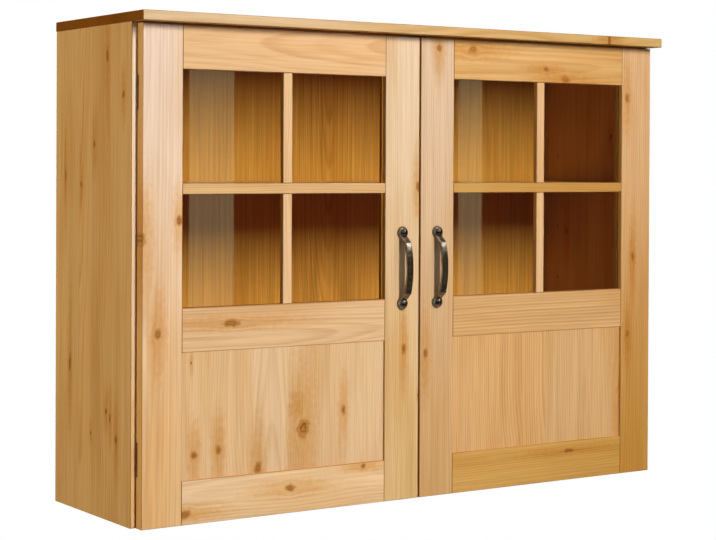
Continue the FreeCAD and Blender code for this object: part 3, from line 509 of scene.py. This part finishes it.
METALS = {
    # The hinge brass is dark brown: partly aged brass, partly painted shade, so its sliver beside the door
    # reads as the shaded gap
    "hinge_brass": dict(colour=(0.30, 0.13, 0.024, 1), dull=(0.18, 0.072, 0.012, 1), roughness=0.35,
                        brushing=(60, 60, 2400), wear=0.2),
    "screw_brass": dict(colour=(0.32, 0.15, 0.032, 1), dull=(0.20, 0.085, 0.016, 1), roughness=0.3,
                        brushing=(1800, 1800, 200), wear=0.22),
    "handle_pewter": dict(colour=(0.26, 0.225, 0.18, 1), dull=(0.14, 0.115, 0.085, 1), roughness=0.08,
                          brushing=(900, 900, 120), wear=0.14),
    "zinc_steel": dict(colour=(0.66, 0.67, 0.68, 1), dull=(0.46, 0.47, 0.50, 1), roughness=0.22,
                       brushing=(700, 700, 700), wear=0.22),
}
MOULDINGS = {
    "catch_plastic": dict(colour=(0.78, 0.70, 0.54, 1), shadow=(0.66, 0.58, 0.43, 1), roughness=0.4,
                          scale=2200),
    "bumper_rubber": dict(colour=(0.62, 0.61, 0.57, 1), shadow=(0.50, 0.49, 0.45, 1), roughness=0.35,
                          scale=3000),
}


def make_finishes():
    finishes = {"window_glass": window_glass("window_glass"), "beech_dowel": beech("beech_dowel")}
    for number, (name, looks) in enumerate(BOARDS.items()):
        finishes[name] = pine(name, seed=SEED_STEP * number + FIRST_SEED, **looks)
    for name, looks in METALS.items():
        finishes[name] = metal(name, **looks)
    for name, looks in MOULDINGS.items():
        finishes[name] = moulded(name, **looks)
    return finishes


def dress(finishes):
    """Give each sub-part the finish of its material slot."""
    for part in frame["record"]["subparts"]:
        node = frame["nodes"][part["node"]]
        for slot in node.material_slots:
            slot.material = finishes[part["material_slot"]]


# Camera, in metres, degrees and pixels
IMAGE_WIDTH = 716
IMAGE_HEIGHT = 540
CAMERA_PLACE = (-1.67975, -2.6348, -0.18207)
CAMERA_TURN = 33.756
CAMERA_PITCH = -0.481
CAMERA_ROLL = 0.27
FOCAL_PIXELS = 1817.71
OPTICAL_CENTRE = (364.26, 180.95)
SENSOR_WIDTH = 36


def add_camera():
    turn, pitch, roll = (math.radians(angle) for angle in (CAMERA_TURN, CAMERA_PITCH, CAMERA_ROLL))
    ahead = Vector((math.sin(turn) * math.cos(pitch), math.cos(turn) * math.cos(pitch), math.sin(pitch)))
    level = Vector((math.cos(turn), -math.sin(turn), 0))
    raised = level.cross(ahead)
    right = math.cos(roll) * level + math.sin(roll) * raised
    up = math.cos(roll) * raised - math.sin(roll) * level
    lens = bpy.data.cameras.new("photo_camera")
    lens.sensor_width = SENSOR_WIDTH
    lens.lens = SENSOR_WIDTH * FOCAL_PIXELS / IMAGE_WIDTH
    lens.shift_x = (IMAGE_WIDTH / 2 - OPTICAL_CENTRE[0]) / IMAGE_WIDTH
    lens.shift_y = (OPTICAL_CENTRE[1] - IMAGE_HEIGHT / 2) / IMAGE_WIDTH
    camera = bpy.data.objects.new("photo_camera", lens)
    turned = Matrix((right, up, -ahead)).transposed().to_4x4()
    camera.matrix_world = Matrix.Translation(CAMERA_PLACE) @ turned
    bpy.context.scene.collection.objects.link(camera)
    bpy.context.scene.camera = camera


def sheet(name, corners, material):
    """A four-cornered stage surface."""
    mesh = bpy.data.meshes.new(name)
    mesh.from_pydata(corners, [], [(0, 1, 2, 3)])
    mesh.materials.append(material)
    surface = bpy.data.objects.new(name, mesh)
    bpy.context.scene.collection.objects.link(surface)
    return surface


ROOM_STRENGTH = 0.03


def add_room():
    """White to the eye, in glass and in metal, and a dim even light on everything else."""
    world = bpy.data.worlds.new("studio")
    graph = Graph(world)
    path = graph.add("LightPath").outputs
    mirrored = graph.larger(path["Is Glossy Ray"], path["Is Transmission Ray"])
    seen = graph.larger(path["Is Camera Ray"], mirrored)
    strength = graph.plus(ROOM_STRENGTH, seen, 1 - ROOM_STRENGTH)
    background = graph.add("Background", {"Color": WHITE, "Strength": strength})
    output = graph.add("OutputWorld")
    graph.tree.links.new(background.outputs[0], output.inputs["Surface"])
    bpy.context.scene.world = world


FLOOR_HEIGHT = -2.6
FLOOR_REACH = 5.0
FLOOR_CORNERS = ((-1, -1), (1, -1), (1, 1), (-1, 1))
FLOOR_DARK = (0.82, 0.82, 0.81, 1)
FLOOR_LIGHT = (0.86, 0.86, 0.85, 1)
FLOOR_GLOW = 0.5
FLOOR_FADE = (1.5, 4.5)


def add_floor():
    """A pale floor that keeps the object's shadow and fades to white towards its edges."""
    material, graph = start("studio_floor")
    place = graph.add("TexCoord").outputs["Object"]
    colour = graph.mix(graph.noise(place, scale=6, detail=4.0), FLOOR_DARK, FLOOR_LIGHT)
    level = graph.scaled(place, (1, 1, 0))
    away = graph.add("VectorMath", {"Vector": level}, operation="LENGTH").outputs["Value"]
    fade = graph.step(away, *FLOOR_FADE, FLOOR_GLOW, 1.0)
    seen = graph.times(graph.add("LightPath").outputs["Is Camera Ray"], fade)
    inputs = {"Base Color": colour, "Roughness": 0.8, "Specular IOR Level": 0.1, "Emission Color": WHITE,
              "Emission Strength": seen}
    graph.surface(graph.add("BsdfPrincipled", inputs))
    corners = [(x * FLOOR_REACH, y * FLOOR_REACH, FLOOR_HEIGHT) for x, y in FLOOR_CORNERS]
    sheet("studio_floor", corners, material)


# Upright cards, each between two (x, y) points
CARD_Y = -4.0
CARD_Z = (-4.5, 4.5)
FLAGS = {
    "front_flag": ((-6.0, CARD_Y), (7.0, CARD_Y)),
    "back_flag": ((3.0, 1.0), (-9.0, 1.6)),
    "side_flag": ((7.0, CARD_Y), (7.0, 4.0)),
}
FLAG_COLOUR = (0.05, 0.04, 0.03, 1)
# Bright gaps stand a little before the front flag
GAP_Y = CARD_Y + 0.02
GAP_EDGES = ((1.583, 1.777), (2.849, 2.972))
GAP_COLOUR = (1, 0.87, 0.48, 1)
GAP_STRENGTH = 1.15


def glow(name, colour, strength):
    material, graph = start(name)
    graph.surface(graph.add("Emission", {"Color": colour, "Strength": strength}))
    return material


def add_card(name, left, right, material):
    """An upright studio card which only gloss, glass and metal see."""
    low, high = CARD_Z
    card = sheet(name, [(*left, low), (*right, low), (*right, high), (*left, high)], material)
    card.visible_camera = False
    card.visible_diffuse = False
    card.visible_shadow = False


def add_reflection_cards():
    """Dark flags in front, on the right and behind, with two bright gaps in the front one."""
    dark = glow("studio_flag", FLAG_COLOUR, strength=1.0)
    bright = glow("studio_gap", GAP_COLOUR, GAP_STRENGTH)
    for name, (left, right) in FLAGS.items():
        add_card(name, left, right, dark)
    for number, (left, right) in enumerate(GAP_EDGES):
        add_card(f"studio_gap_{number}", (left, GAP_Y), (right, GAP_Y), bright)


BEAM_SPREAD = 110
KEY_CASTERS = ("top_panel", "left_side", "right_side", "bottom_panel", "upper_shelf", "lower_shelf",
               "back_panel", "hanging_rail", "left_hinge_stile", "right_hinge_stile", "left_handle",
               "right_handle")


def add_lamp(name, place, aim, width, height, power, glare=True):
    """A soft rectangular lamp; without glare it makes no bright spots on glossy surfaces."""
    lamp = bpy.data.lights.new(name, "AREA")
    lamp.shape = "RECTANGLE"
    lamp.size = width
    lamp.size_y = height
    lamp.energy = power
    lamp.spread = math.radians(BEAM_SPREAD)
    holder = bpy.data.objects.new(name, lamp)
    holder.location = place
    holder.rotation_euler = (Vector(aim) - Vector(place)).to_track_quat("-Z", "Y").to_euler()
    holder.visible_glossy = glare
    bpy.context.scene.collection.objects.link(holder)
    return holder


def cast_shadows_from(lamp, names):
    """Let only the named nodes throw this lamp's shadows, so that no door frame stripes the back."""
    casters = bpy.data.collections.new(f"{lamp.name}_casters")
    for name in names:
        casters.objects.link(frame["nodes"][name])
    lamp.light_linking.blocker_collection = casters


def add_lamps():
    key = add_lamp("key", place=(-0.05, -3.65, 1.45), aim=(0, -0.27, -0.3), width=0.3, height=1.7,
                   power=61, glare=False)
    cast_shadows_from(key, KEY_CASTERS)
    add_lamp("front_fill", place=(0, -2.93, 0.77), aim=(0, -0.27, -0.35), width=3.2, height=1.2, power=3)
    add_lamp("overhead", place=(0, -0.2, 2.6), aim=(0, -0.15, 0), width=1.6, height=1.2, power=9)
    add_lamp("side_fill", place=(-3.5, 0.5, 0.2), aim=(-0.5, -0.15, -0.35), width=1.5, height=2.0,
             power=31, glare=False)
    add_lamp("glint", place=(1.62, -2.33, 1.16), aim=(0, -0.3, -0.34), width=0.5, height=0.9, power=5)
    add_lamp("back_fill", place=(2.2, 2.8, 0.4), aim=(0.2, 0, -0.35), width=2.0, height=2.0,
             power=35, glare=False)


dress(make_finishes())
add_camera()
add_room()
add_floor()
add_reflection_cards()
add_lamps()
bpy.context.scene.view_settings.view_transform = "Standard"
